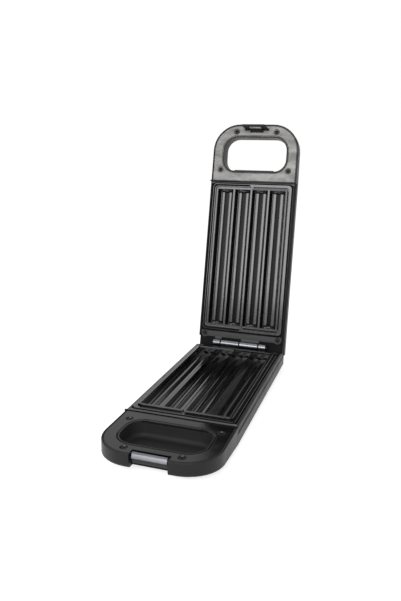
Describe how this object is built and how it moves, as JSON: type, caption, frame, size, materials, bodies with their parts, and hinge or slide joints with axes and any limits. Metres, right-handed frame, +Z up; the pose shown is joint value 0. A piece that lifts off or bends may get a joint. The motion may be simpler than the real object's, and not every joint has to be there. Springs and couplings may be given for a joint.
{
  "type": "churro maker",
  "caption": "Countertop churro maker shown open: a hinged lid and base with fluted groove plates, hollow carrying handles and a spring catch.",
  "frame": {"origin": "centre of the open machine's bounding box in plan, on the surface that the feet stand on", "axes": "+X to the right as seen from the handles, +Y from the handles to the hinge end, +Z up"},
  "size_m": [0.145, 0.4642, 0.3922],
  "materials": {
    "black_shell": "fine satin black",
    "light_cover": "satin warm light grey",
    "dark_cover": "satin dark grey",
    "coated_plate": "glossy black non-stick coating",
    "bright_steel": "bright",
    "silver_grey": "silver-grey satin",
    "satin_band": "dark grey satin",
    "black_screw": "blackened",
    "plain_steel": "plain",
    "shield_sheet": "plain sheet",
    "black_rubber": "matt",
    "switch_plastic": "plain"
  },
  "bodies": {
    "base": {"base_housing": "black_shell", "base_handle_cover": "dark_cover", "base_handle_shell": "black_shell", "base_plate": "coated_plate", "base_heating_element": "plain_steel", "base_heat_shield": "shield_sheet", "base_rear_band": "satin_band", "base_hinge_leaf": "bright_steel", "base_cover_screw_1": "black_screw", "base_cover_screw_2": "black_screw", "base_cover_screw_3": "black_screw", "base_cover_screw_4": "black_screw", "base_band_screw_1": "black_screw", "base_band_screw_2": "black_screw", "thermostat": "switch_plastic", "terminal_block": "switch_plastic", "cord_bush": "black_rubber", "hinge_pin": "plain_steel", "base_catch_pin": "plain_steel", "foot_1": "black_rubber", "foot_2": "black_rubber", "foot_3": "black_rubber", "foot_4": "black_rubber"},
    "lid": {"lid_housing": "black_shell", "lid_handle_cover": "light_cover", "lid_handle_shell": "black_shell", "lid_plate": "coated_plate", "lid_heating_element": "plain_steel", "lid_heat_shield": "shield_sheet", "lid_rear_band": "satin_band", "lid_hinge_leaf": "bright_steel", "lid_cover_screw_1": "black_screw", "lid_cover_screw_2": "black_screw", "lid_cover_screw_3": "black_screw", "lid_cover_screw_4": "black_screw", "lid_band_screw_1": "black_screw", "lid_band_screw_2": "black_screw", "lid_thermal_cutout": "switch_plastic", "lid_latch_tongue": "black_shell"},
    "catch": {"base_catch": "silver_grey"}
  },
  "joints": [
    {"name": "lid_hinge", "type": "hinge", "parent": "base", "child": "lid", "pos_m": [0, 0.13488, 0.0345], "axis": [1, 0, 0], "range_deg": [0, 102.15]},
    {"name": "catch_hinge", "type": "hinge", "parent": "base", "child": "catch", "pos_m": [0, -0.22602, 0.0284], "axis": [1, 0, 0], "range_deg": [-22, 0], "stiffness_Nm_per_rad": 0.01, "springref_deg": 11.46}
  ]
}
